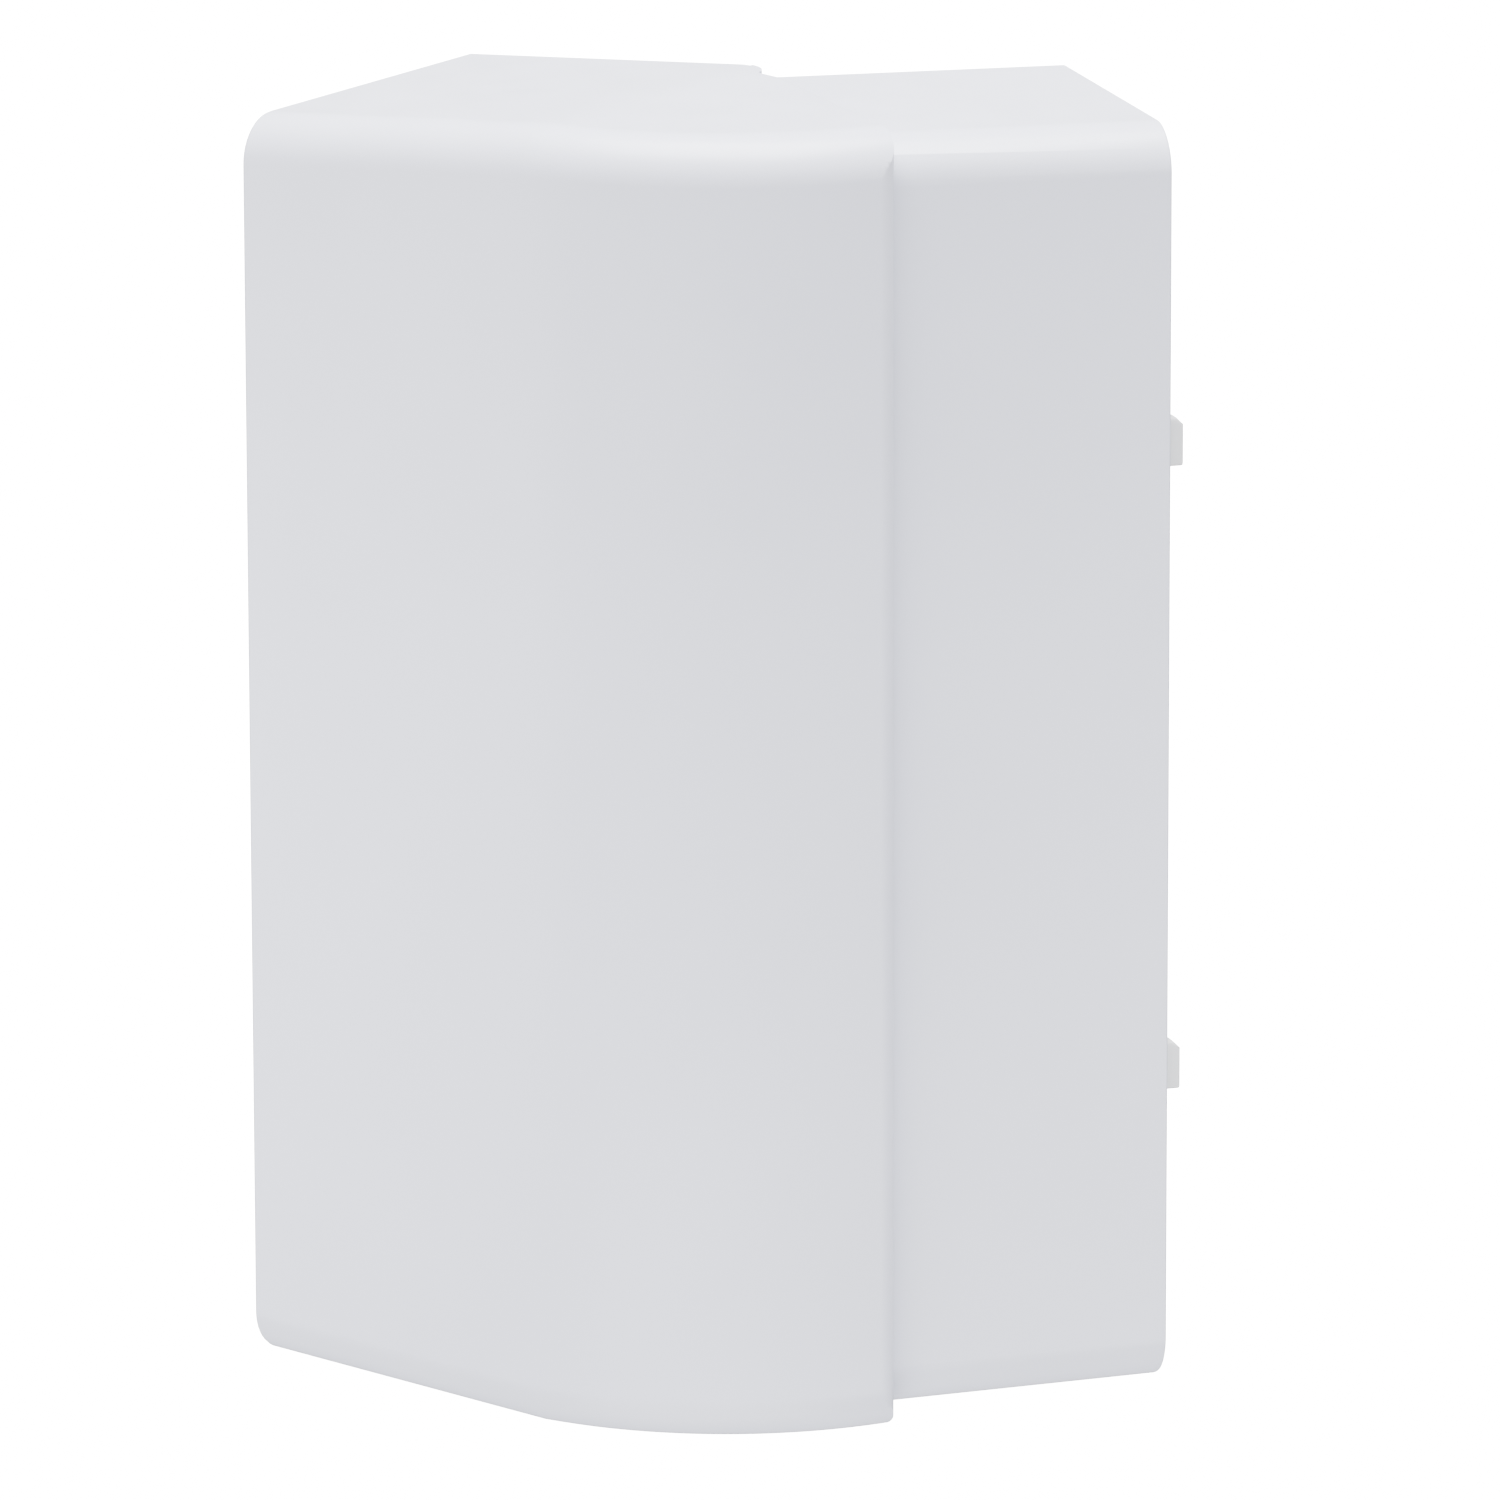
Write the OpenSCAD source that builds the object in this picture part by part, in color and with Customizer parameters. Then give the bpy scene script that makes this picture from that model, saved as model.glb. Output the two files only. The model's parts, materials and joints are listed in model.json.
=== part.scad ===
// Wall-mounted curtain motion sensor: a wall base with a head that swivels on a vertical hinge.
// Frame: origin at the centre of the wall face, +Y into the wall, +Z up, millimetres.
// The head has a frame of its own: hinge axis at its origin, lens towards -Y, broad side at +X.

/* [Head] */
// Height of the head at the hinge
head_h = 110; // [105:1:118]
// Width of the head across, from the valley side to the broad side
head_w = 33.4; // [32.8:0.1:36]
// Length of the head from the hinge line to its front face
head_len = 27.8; // [27.6:0.1:30]
// Slope of the top and bottom towards the front face, degrees
head_slope = 4.1; // [0.5:0.1:4.5]
// Rounding of the long edges on the broad side
edge_r = 3.9; // [3.4:0.1:4.2]
// Wall thickness of both housings
wall = 2; // [1.8:0.1:2.1]

/* [Base] */
// Length of the base from the hinge line to the wall face
base_len = 30; // [29:0.5:36]
// How far the base lies inside the head on the broad side
side_step = 3.1; // [2.9:0.1:3.5]
// How far the base lies below the top of the head
top_step = 1; // [0.8:0.05:1.2]
// Slope of the top and bottom of the base towards the wall, degrees
base_slope = 1; // [0.5:0.1:1.5]
// Distance between the two wall screws
screw_pitch = 60; // [50:1:66]
// Radius of the wall screw holes
screw_hole_r = 2.25; // [1.8:0.05:2.6]

/* [Swivel] */
// Turn of the head away from straight ahead
head_yaw = 50; // [45:1:52]
// Distance of the hinge axis from the valley side of the head
hinge_inset = 3; // [2.9:0.05:3.2]
// Radius of the hinge pins
pin_r = 1; // [0.8:0.05:1.1]
// Radial clearance of the hinge pins in the head
pin_clear = 0.05; // [0.02:0.01:0.08]

/* [Lens] */
// Width of the lens window
window_w = 21; // [18:0.5:21]
// Height of the lens window
window_h = 46; // [40:1:46]
// Height of the lens centre above the middle of the head
lens_z = 22; // [20:0.5:22]
// How far the lens stands proud of the front face
lens_proud = 4; // [2:0.5:5]

/* [Hidden] */
$fn = 64;
over = 1;                                    // how far a cutter runs past the face it opens
fit_gap = 0.15;                              // gap round a part that sits inside another
slide_gap = 0.4;                             // gap between faces that slide past each other

// head, in its own frame
head_top = head_h / 2;
head_out = head_w - hinge_inset;             // radius of the broad side about the hinge
head_in = head_out - wall;
head_far = -hinge_inset;
head_mid = (head_far + head_out) / 2;
lip_turn = 5.3;                              // seam direction past the base's X axis, degrees
inside_step = 0.03;                          // how much rounder the curved run is, so it ends inside
lip_r = 1.7;                                 // rounding of the upright edge at the seam
front_top = head_top - head_len * tan(head_slope);
bezel_t = 2;
bezel_back = -head_len + bezel_t;
skirt_t = 1.2;
skirt_len = 4;

// base, relative to the hinge axis
base_out = head_out - side_step;
base_far = -1.1;
base_top = head_top - top_step;
base_mid = (base_far + base_out) / 2;
tongue_top = head_top - wall - slide_gap;    // half height of the part under the head
tongue_r = 5.2;
tongue_end = 45;                             // how far the tongue reaches under the head, degrees
hinge_x = -base_mid;
hinge_y = -base_len;

// hinge stack, from the head's boss down
barrel_r = 2.7;
boss_foot = head_top - 6;
barrel_top = boss_foot - slide_gap;
washer_t = slide_gap - 0.05;
pin_foot = barrel_top - 8;
pin_top = boss_foot + 4.5;

// back plate and what it carries
plate_t = 2.5;
plate_far = base_far + wall + fit_gap;
plate_near = base_out - wall - fit_gap;
plate_top = base_top - wall - base_len * tan(base_slope) - fit_gap;
lug_z = 26.6;
lug_h = 4.1;
lug_t = 1.6;
lug_proud = 1.8;
lug_bevel = 0.6;
plunger_r = 1.5;
plunger_proud = 0.8;
tamper_z = -13;
tamper_post = 8.5;                           // distance of each post above and below the plunger
tamper_size = [9, 5.5, 12];
tamper_back = -plate_t - 0.5;
tamper_board_y = tamper_back - tamper_size[1];
board_t = 1.6;
lock_y = -7;                                 // lock screw's distance in front of the wall face
lock_head_r = 2.4;
lock_floor = -base_top + wall + 0.6;         // what the lock screw's head bears on
lock_roof = lock_floor + 2.2;                // top of the block round the lock screw

// lens and its frames
lens_t = 0.8;
gasket_t = 0.5;
flange_w = 1.8;
flange_t = 1;
flange_front = bezel_back + gasket_t;
flange_back = flange_front + flange_t;
retainer_t = 1.5;
lens_half = window_w / 2 - 0.2;
lens_sag = lens_proud + bezel_t + gasket_t;
lens_r = (lens_half * lens_half + lens_sag * lens_sag) / (2 * lens_sag);
lens_axis_y = flange_front - lens_sag + lens_r;

// chassis, board and battery
chassis_back = -3.4;
chassis_front = -5;
chassis_far = 4;
chassis_near = head_in - 2 * fit_gap;
chassis_top = 49.5;
chassis_holes = [[13.7, 46], [25, -46]];
board_back = -7.4;
board_front = board_back - board_t;
board_far = 4.5;
board_near = 26;
board_low = -10;
board_high = 49;
board_holes = [[7, -7], [23.5, -7], [7, 46], [23.5, 46]];
post_r = 2;
cell_r = 8.5;
cell_x = 13;
cell_y = -13.8;
cell_low = -47.5;
cell_high = -14;
cell_nub = 1;
cradle_wall = 1;
cradle_cap = 1;
led_z = -7;
led_r = 1.5;

// door in the valley side of the head
door_low_y = -23.5;
door_high_y = -4.5;
door_top = 2;
door_gap = 0.3;
rail = 0.8;                                  // how far the door's flange runs under the wall
rail_x = head_far + 1.1;                     // where the outer lip of the rail ends

// ---------- helpers ----------

module in_head() {
    translate([hinge_x, hinge_y, 0]) rotate([0, 0, -head_yaw]) children();
}

module at_hinge() {
    translate([hinge_x, hinge_y, 0]) children();
}

// Both ends of something that is the same at the top and the bottom
module both_ends() {
    children();
    mirror([0, 0, 1]) children();
}

// Rectangle from x0 to x1 and low to high with the corner at (x1, high) rounded
module corner_section(x0, x1, low, high, r) {
    translate([x0, low]) square([x1 - x0 - r, high - low]);
    translate([x0, low]) square([x1 - x0, high - low - r]);
    translate([x1 - r, high - r]) circle(r);
}

// Straight run from y = 0 to y = -len, whose top and bottom come closer by slope degrees
module sloped_run(x0, x1, high, r, len, slope) {
    overlap = high / 2;
    both_ends() intersection() {
        translate([0, 0, high]) rotate([slope, 0, 0]) translate([0, over, -high])
            rotate([90, 0, 0]) linear_extrude(2 * len)
                corner_section(x0, x1, -overlap, high, r);
        translate([x0 - over, -len, -overlap]) cube([x1 - x0 + 2 * over, len, high + overlap]);
    }
}

// Sector about the hinge from angle from to angle to, rounded top and bottom
module sector(radius, high, r, from, to) {
    rotate([0, 0, from]) rotate_extrude(angle = to - from, $fn = 96) {
        corner_section(0, radius, 0, high, r);
        mirror([0, 1]) corner_section(0, radius, 0, high, r);
    }
}

// Flat frame in the plane of the front face, with its rounded corners on the broad side
module front_plate(x0, x1, high, r, y_front, thick) {
    both_ends() translate([0, y_front + thick, 0]) rotate([90, 0, 0])
        linear_extrude(thick) corner_section(x0, x1, 0, high, r);
}

// Box given by its two corners
module box(low, high) {
    translate(low) cube(high - low);
}

// Cylinder along +Y from y0 to y1
module rod_y(x, z, y0, y1, r) {
    translate([x, y1, z]) rotate([90, 0, 0]) cylinder(r = r, h = y1 - y0);
}

// Screw along +Y: head at the low end of y, cross slot in the head
module screw_y(x, z, y_head, head_r, head_t, shank_r, shank_len) {
    slot = 0.5;
    difference() {
        rod_y(x, z, y_head - head_t, y_head, head_r);
        for (turn = [0, 90])
            translate([x, y_head - head_t, z]) rotate([0, turn, 0])
                cube([1.3 * head_r, head_t, slot], center = true);
    }
    rod_y(x, z, y_head, y_head + shank_len, shank_r);
}

// Opening of the lens window, from y0 to y1, grown by extra on every side
module window_cut(extra, y0, y1) {
    box([head_mid - window_w / 2 - extra, y0, lens_z - window_h / 2 - extra],
        [head_mid + window_w / 2 + extra, y1, lens_z + window_h / 2 + extra]);
}

// ---------- base ----------

// The half space in front of the seam, grown towards the wall by gap
module seam_cut(gap) {
    rotate([0, 0, lip_turn]) translate([-100, hinge_inset + gap - 200, -100]) cube([200, 200, 200]);
}

module base_block() {
    difference() {
        rotate([0, 0, 180]) mirror([1, 0, 0])
            sloped_run(base_far, base_out, base_top, edge_r, base_len, base_slope);
        rotate([0, 0, 180]) mirror([1, 0, 0]) translate([0, over, 0])
            sloped_run(base_far + wall, base_out - wall, base_top - wall, edge_r - wall,
                base_len + 2 * over, base_slope);
        both_ends() intersection() {
            seam_cut(slide_gap);
            translate([-50, -50, tongue_top]) cube([100, 100, 10]);
        }
    }
}

module base_tongue() {
    difference() {
        sector(base_out, tongue_top, tongue_r, -tongue_end, lip_turn + 16);
        sector(base_out - wall, tongue_top - wall, tongue_r - wall,
            -tongue_end - 5, lip_turn + 20);
    }
}

module base_housing() color("whitesmoke") at_hinge() difference() {
    union() {
        base_block();
        base_tongue();
        translate([0, 0, -barrel_top]) cylinder(r = barrel_r, h = 2 * barrel_top);
        // boss round the recessed lock screw
        translate([base_mid, base_len + lock_y, -base_top + wall / 2])
            cylinder(r = lock_head_r + 1.4, h = lock_roof + base_top - wall / 2);
    }
    both_ends() {
        translate([0, 0, barrel_top]) cylinder(r = hinge_inset + slide_gap, h = 20);
        translate([0, 0, pin_foot]) cylinder(r = pin_r, h = 20);
    }
    translate([base_mid, base_len + lock_y, -base_top - over]) {
        cylinder(r = 1.6, h = 12);
        cylinder(r = lock_head_r + fit_gap, h = lock_floor + base_top + over);
    }
}

module back_plate() color("gainsboro") at_hinge() translate([0, base_len, 0]) difference() {
    union() {
        front_plate(plate_far, plate_near, plate_top, edge_r - wall - fit_gap, -plate_t, plate_t);
        // locating lugs that enter the wall bracket
        for (side = [-1, 1]) difference() {
            box([plate_near - lug_t, -plate_t, side * lug_z - lug_h / 2],
                [plate_near, lug_proud, side * lug_z + lug_h / 2]);
            translate([plate_near - lug_t / 2, lug_proud, side * lug_z + lug_h / 2])
                rotate([45, 0, 0]) cube([2 * lug_t, lug_bevel * sqrt(2), lug_bevel * sqrt(2)],
                    center = true);
        }
        // posts for the tamper board
        for (side = [-1, 1])
            rod_y(base_mid, tamper_z + side * tamper_post, tamper_board_y, -plate_t / 2, post_r);
        // lug that the lock screw bites into
        box([base_mid - 3.5, lock_y - 2.8, lock_roof + slide_gap],
            [base_mid + 3.5, -plate_t / 2, lock_roof + slide_gap + 5]);
    }
    for (side = [-1, 1])
        rod_y(base_mid, side * screw_pitch / 2, -plate_t - over, over, screw_hole_r);
    for (side = [-1, 1])
        rod_y(base_mid, tamper_z + side * tamper_post, tamper_board_y - over,
            tamper_board_y + 4, 0.8);
    rod_y(base_mid, tamper_z, -plate_t - over, over, plunger_r + fit_gap);
    translate([base_mid, lock_y, lock_roof]) cylinder(r = 1.25, h = 4.5);
}

module lock_screw() color("silver") at_hinge() translate([base_mid, base_len + lock_y, 0]) {
    head_t = 1.6;
    difference() {
        translate([0, 0, lock_floor - head_t]) cylinder(r = lock_head_r, h = head_t);
        for (turn = [0, 90])
            translate([0, 0, lock_floor - head_t]) rotate([0, 0, turn])
                cube([3, 0.6, 1.4], center = true);
    }
    translate([0, 0, lock_floor]) cylinder(r = 1.25, h = 6.5);
}

module hinge_pins() color("silver") at_hinge() both_ends()
    translate([0, 0, pin_foot]) cylinder(r = pin_r, h = pin_top - pin_foot);

module swivel_washers() color("ivory") at_hinge() both_ends()
    translate([0, 0, barrel_top]) difference() {
        cylinder(r = barrel_r, h = washer_t);
        translate([0, 0, -over]) cylinder(r = pin_r + 0.1, h = 3);
    }

module tamper_board() color("darkgreen") at_hinge() translate([0, base_len, tamper_z]) difference() {
    box([base_mid - 7, tamper_board_y - board_t, -11], [base_mid + 7, tamper_board_y, 11]);
    for (side = [-1, 1])
        rod_y(base_mid, side * tamper_post, tamper_board_y - 5, tamper_board_y + over, 0.9);
}

module tamper_board_screws() color("silver") at_hinge() translate([0, base_len, tamper_z])
    for (side = [-1, 1])
        screw_y(base_mid, side * tamper_post, tamper_board_y - board_t, 1.7, 1.2, 0.8,
            board_t + 3.5);

module tamper_switch() color("dimgray") at_hinge() translate([0, base_len, tamper_z]) difference() {
    box([base_mid - tamper_size[0] / 2, tamper_board_y, -tamper_size[2] / 2],
        [base_mid + tamper_size[0] / 2, tamper_back, tamper_size[2] / 2]);
    rod_y(base_mid, 0, tamper_back - 4, tamper_back + over, plunger_r + fit_gap);
}

module tamper_plunger() color("red") at_hinge() translate([0, base_len, tamper_z]) {
    tip = 0.5;
    rod_y(base_mid, 0, tamper_back - 2.4, plunger_proud - tip, plunger_r);
    rod_y(base_mid, 0, plunger_proud - tip, plunger_proud, plunger_r - tip / 2);
}

// ---------- head housing ----------

// What rounding takes off the upright edge at the seam
module lip_rounding() {
    across = hinge_inset - lip_r;
    along = sqrt(pow(head_out - lip_r, 2) - pow(across, 2));
    rotate([0, 0, head_yaw + lip_turn]) translate([along, across, -head_top - over]) difference() {
        cube([2 * lip_r, 2 * lip_r, head_h + 2 * over]);
        translate([0, 0, -over]) cylinder(r = lip_r, h = head_h + 4 * over);
    }
}

module head_outside() {
    sloped_run(head_far, head_out, head_top, edge_r, head_len, head_slope);
    difference() {
        intersection() {
            sector(head_out, head_top, edge_r + inside_step, 0, 90);
            rotate([0, 0, head_yaw]) seam_cut(0);
        }
        lip_rounding();
    }
    // round end of the valley side
    intersection() {
        translate([0, 0, -head_top]) cylinder(r = hinge_inset, h = head_h);
        box([-10, 0, -head_top], [10, 10, head_top]);
    }
}

module head_inside() {
    translate([0, over, 0])
        sloped_run(head_far + wall, head_in, head_top - wall + over * tan(head_slope),
            edge_r - wall, head_len + 3 * over, head_slope);
    sector(head_in, head_top - wall, edge_r - wall, -1, 92);
}

module head_shell() color("white") in_head() {
    difference() {
        head_outside();
        difference() {
            head_inside();
            // bosses that take the hinge pins
            both_ends() translate([0, 0, boss_foot]) cylinder(r = hinge_inset, h = 10);
        }
        // room for the base's hinge barrel
        translate([0, 0, -boss_foot]) cylinder(r = hinge_inset + slide_gap / 2, h = 2 * boss_foot);
        both_ends() translate([0, 0, boss_foot - over])
            cylinder(r = pin_r + pin_clear, h = pin_top - boss_foot + over + 0.1);
        // rebated opening for the battery door, open at the bottom
        box([head_far - over, door_low_y, -head_top - over], [rail_x, door_high_y, door_top]);
        box([rail_x - over / 4, door_low_y - rail, -head_top - over],
            [head_far + wall + over / 4, door_high_y + rail, door_top]);
    }
    for (hole = chassis_holes) chassis_lug(hole[0], hole[1]);
}

// Block from the top or bottom wall down to just past a chassis screw, with the screw's hole
module chassis_lug(x, z) {
    half_w = 3.5;
    past_screw = 3.5;
    end = sign(z);
    inner_end = z - past_screw * end;
    outer_end = end * (head_top - wall / 2);
    difference() {
        box([x - half_w, chassis_back, min(inner_end, outer_end)],
            [min(x + half_w, head_in + wall / 2), 0, max(inner_end, outer_end)]);
        rod_y(x, z, chassis_back - over, -0.6, 1);
    }
}

module battery_door() color("white") in_head() {
    intersection() {
        sloped_run(head_far, head_out, head_top, edge_r, head_len, head_slope);
        union() {
            box([head_far, door_low_y + door_gap, -head_top - over],
                [rail_x + 0.15, door_high_y - door_gap, door_top - door_gap]);
            box([rail_x + 0.15, door_low_y - rail + door_gap, -head_top - over],
                [head_far + wall - 0.1, door_high_y + rail - door_gap, door_top - door_gap]);
        }
    }
    // thumb ridges
    ridge = 0.4;
    for (row = [0:4])
        box([head_far - ridge, (door_low_y + door_high_y) / 2 - 5, -46 + row * 1.8],
            [head_far + ridge, (door_low_y + door_high_y) / 2 + 5, -45.2 + row * 1.8]);
}

module front_bezel() color("white") in_head() {
    x0 = head_far + wall + fit_gap;
    x1 = head_in - fit_gap;
    high = front_top - wall - fit_gap;
    difference() {
        front_plate(x0, x1, high, edge_r - wall - fit_gap, -head_len, bezel_t + skirt_len);
        front_plate(x0 + skirt_t, x1 - skirt_t, high - skirt_t, edge_r - wall - fit_gap - skirt_t,
            bezel_back, skirt_len + over);
        window_cut(0, -head_len - over, bezel_back + over);
        rod_y(head_mid, led_z, -head_len - over, bezel_back + over, led_r);
    }
}

module lens_gasket() color("black") in_head() difference() {
    window_cut(flange_w, bezel_back, flange_front);
    window_cut(0, bezel_back - over, flange_front + over);
}

module fresnel_lens() color("white", 0.85) in_head() {
    z0 = lens_z - window_h / 2 + 0.2;
    z1 = lens_z + window_h / 2 - 0.2;
    // curved sheet
    intersection() {
        translate([head_mid, lens_axis_y, z0]) difference() {
            cylinder(r = lens_r, h = z1 - z0, $fn = 96);
            translate([0, 0, lens_t])
                cylinder(r = lens_r - lens_t, h = z1 - z0 - 2 * lens_t, $fn = 96);
        }
        box([head_mid - lens_half, -head_len - lens_proud - over, z0],
            [head_mid + lens_half, flange_front, z1]);
    }
    // flange behind the bezel
    difference() {
        window_cut(flange_w, flange_front, flange_back);
        window_cut(-lens_t - 0.2, flange_front - over, flange_back + over);
    }
}

module lens_retainer() color("gainsboro") in_head() difference() {
    window_cut(flange_w, flange_back, flange_back + retainer_t);
    window_cut(-lens_t - 0.2, flange_back - over, flange_back + retainer_t + over);
}

// ---------- inside the head ----------

module chassis() color("lightgray") in_head() {
    difference() {
        box([chassis_far, chassis_front, -chassis_top], [chassis_near, chassis_back, chassis_top]);
        for (hole = chassis_holes)
            rod_y(hole[0], hole[1], chassis_front - over, chassis_back + over, 1.2);
        for (hole = board_holes)
            rod_y(hole[0], hole[1], chassis_front - over, chassis_back + over, 0.9);
    }
    for (hole = board_holes) difference() {
        rod_y(hole[0], hole[1], board_back, chassis_front, post_r);
        rod_y(hole[0], hole[1], board_back - over, chassis_front + over, 0.9);
    }
    // battery cradle
    intersection() {
        translate([cell_x, cell_y, 0]) difference() {
            translate([0, 0, cell_low - 2 - cradle_cap])
                cylinder(r = cell_r + fit_gap + cradle_wall,
                    h = cell_high - cell_low + 4 + 2 * cradle_cap);
            translate([0, 0, cell_low - 2])
                cylinder(r = cell_r + fit_gap, h = cell_high - cell_low + 3.4);
        }
        box([cell_x - 20, cell_y, -60], [cell_x + 20, chassis_front + 0.1, 0]);
    }
}

module chassis_screws() color("silver") in_head() for (hole = chassis_holes)
    screw_y(hole[0], hole[1], chassis_front, 1.9, 1.4, 1, 3.6);

module main_board() color("darkgreen") in_head() difference() {
    box([board_far, board_front, board_low], [board_near, board_back, board_high]);
    for (hole = board_holes)
        rod_y(hole[0], hole[1], board_front - over, board_back + over, 1);
}

module board_screws() color("silver") in_head() for (hole = board_holes)
    screw_y(hole[0], hole[1], board_front, 1.8, 1.2, 0.9, 4.8);

module pyro_sensor() color("silver") in_head() {
    lead_pitch = 1.8;
    rod_y(head_mid, lens_z, board_front - 0.7, board_front, 4.6);
    rod_y(head_mid, lens_z, board_front - 4.2, board_front - 0.7, 4.1);
    for (turn = [0, 90, 180]) translate([head_mid, 0, lens_z]) rotate([0, turn, 0])
        rod_y(lead_pitch, 0, board_back, board_back + 1, 0.25);
}

module pyro_window() color("dimgray") in_head()
    box([head_mid - 2, board_front - 4.6, lens_z - 1.5],
        [head_mid + 2, board_front - 4.2, lens_z + 1.5]);

module curtain_hood() color("black") in_head() {
    half_w = 6;
    half_h = 8;
    depth = 10;
    skin = 1;
    slot_half = 1.5;
    difference() {
        box([head_mid - half_w, board_front - depth, lens_z - half_h],
            [head_mid + half_w, board_front, lens_z + half_h]);
        box([head_mid - half_w + skin, board_front - depth + skin, lens_z - half_h + skin],
            [head_mid + half_w - skin, board_front + over, lens_z + half_h - skin]);
        box([head_mid - slot_half, board_front - depth - over, lens_z - half_h + 2 * skin],
            [head_mid + slot_half, board_front, lens_z + half_h - 2 * skin]);
    }
}

module processor_chip() color("black") in_head()
    box([18, board_front - 1, 1], [25, board_front, 8]);

module radio_board() color("darkgreen") in_head()
    box([7, board_front - 0.8, 32], [19, board_front, 43]);

module radio_shield() color("silver") in_head() difference() {
    box([8, board_front - 2.8, 33], [18, board_front - 0.8, 42]);
    box([8.3, board_front - 2.5, 33.3], [17.7, board_front, 41.7]);
}

module antenna() color("gold") in_head() {
    x = 24;
    z = 14;
    rod_y(x, z, board_front - 3, board_front, 0.5);
    translate([x, board_front - 3, z]) sphere(0.5, $fn = 24);
    translate([x, board_front - 3, z]) cylinder(r = 0.5, h = 27);
}

module capacitors() color("midnightblue") in_head() for (z = [0, 6])
    rod_y(9.5, z + 3, board_front - 6, board_front, 2.5);

module status_led() color("red") in_head() {
    rod_y(head_mid, led_z, board_front - 1.4, board_front, 1.2);
    translate([head_mid, board_front - 1.4, led_z]) sphere(1.2);
}

module light_pipe() color("white", 0.6) in_head()
    rod_y(head_mid, led_z, -head_len, board_front - 3, led_r - 0.1);

module battery() color("steelblue") in_head() translate([cell_x, cell_y, 0]) {
    translate([0, 0, cell_low]) cylinder(r = cell_r, h = cell_high - cell_low);
    translate([0, 0, cell_high]) cylinder(r = 3.2, h = cell_nub);
}

module battery_positive_contact() color("silver") in_head()
    box([cell_x - 4, cell_y - 3, cell_high + cell_nub],
        [cell_x + 4, cell_y + 5, cell_high + cell_nub + 0.4]);

module battery_negative_contact() color("silver") in_head() translate([cell_x, cell_y, 0]) {
    wire = 0.4;
    box([-4, -3, cell_low - 2], [4, 5, cell_low - 2 + wire]);
    for (turn = [0:1])
        translate([0, 0, cell_low - wire - turn * 1.5 * wire])
            rotate_extrude($fn = 48) translate([2.2 + turn * 0.6, 0]) circle(wire, $fn = 24);
}

module learn_switch() color("dimgray") in_head() difference() {
    box([5, board_front - 6, -4.5], [8.5, board_front, 0.5]);
    translate([4, board_front - 3, -2]) rotate([0, 90, 0]) cylinder(r = 1.7, h = 3);
}

module learn_button() color("red") in_head()
    translate([2.5, board_front - 3, -2]) rotate([0, 90, 0]) cylinder(r = 1.5, h = 3.6);

base_housing();
back_plate();
lock_screw();
hinge_pins();
swivel_washers();
tamper_board();
tamper_board_screws();
tamper_switch();
tamper_plunger();
head_shell();
front_bezel();
lens_gasket();
fresnel_lens();
lens_retainer();
chassis();
chassis_screws();
main_board();
board_screws();
pyro_sensor();
pyro_window();
curtain_hood();
processor_chip();
radio_board();
radio_shield();
antenna();
capacitors();
status_led();
light_pipe();
battery();
battery_positive_contact();
battery_negative_contact();
learn_switch();
learn_button();
battery_door();
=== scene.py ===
import json
import math
import random

import bmesh
import bpy
from mathutils import Matrix, Vector

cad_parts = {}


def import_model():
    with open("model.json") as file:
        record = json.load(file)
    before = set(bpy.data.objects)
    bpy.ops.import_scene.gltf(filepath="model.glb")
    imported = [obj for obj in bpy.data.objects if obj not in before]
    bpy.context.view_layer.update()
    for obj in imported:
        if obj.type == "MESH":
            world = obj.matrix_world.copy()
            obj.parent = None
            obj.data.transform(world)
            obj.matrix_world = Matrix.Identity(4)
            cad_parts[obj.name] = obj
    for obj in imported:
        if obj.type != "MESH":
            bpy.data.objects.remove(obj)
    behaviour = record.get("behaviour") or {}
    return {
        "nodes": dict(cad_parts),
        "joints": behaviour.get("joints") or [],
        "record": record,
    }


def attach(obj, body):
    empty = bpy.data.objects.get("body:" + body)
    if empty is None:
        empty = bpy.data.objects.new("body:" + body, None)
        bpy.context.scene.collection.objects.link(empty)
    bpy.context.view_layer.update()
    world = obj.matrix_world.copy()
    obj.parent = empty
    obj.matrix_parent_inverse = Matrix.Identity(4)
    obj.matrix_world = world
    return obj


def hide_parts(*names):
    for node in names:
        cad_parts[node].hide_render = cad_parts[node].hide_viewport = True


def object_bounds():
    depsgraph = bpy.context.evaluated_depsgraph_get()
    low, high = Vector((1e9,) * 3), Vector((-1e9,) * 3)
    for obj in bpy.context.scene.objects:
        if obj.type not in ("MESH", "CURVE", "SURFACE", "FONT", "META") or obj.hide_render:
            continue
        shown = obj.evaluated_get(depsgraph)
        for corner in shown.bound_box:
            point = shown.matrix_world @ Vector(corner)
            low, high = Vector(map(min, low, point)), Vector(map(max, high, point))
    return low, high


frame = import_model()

CAD_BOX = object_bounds()
MM = 0.001

# ---------- what the frame says ----------

NODES = frame["nodes"]
RECORD = frame["record"]
BODY = {node: body for body, nodes in RECORD["behaviour"]["bodies"].items() for node in nodes}
SLOT = {part["node"]: part["material_slot"] for part in RECORD["subparts"]}
JOINT = {joint["name"]: joint for joint in frame["joints"]}

HINGE = Vector(JOINT["head_swivel"]["pos_m"])
ACROSS_HEAD = Vector(JOINT["learn_button_press"]["axis"])   # from the valley side to the broad side
HEAD = Matrix.Translation(HINGE) @ Matrix.Rotation(math.atan2(ACROSS_HEAD.y, ACROSS_HEAD.x), 4, "Z")

# ---------- helpers for materials ----------


def new_material(name, color, roughness, **constants):
    """A Principled material whose constants sit on the shader's own sockets."""
    material = bpy.data.materials.new(name)
    material.use_nodes = True
    surface = material.node_tree.nodes["Principled BSDF"]
    surface.inputs["Base Color"].default_value = (*color, 1)
    surface.inputs["Roughness"].default_value = roughness
    for socket, value in constants.items():
        surface.inputs[socket.replace("_", " ")].default_value = value
    return material


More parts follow.
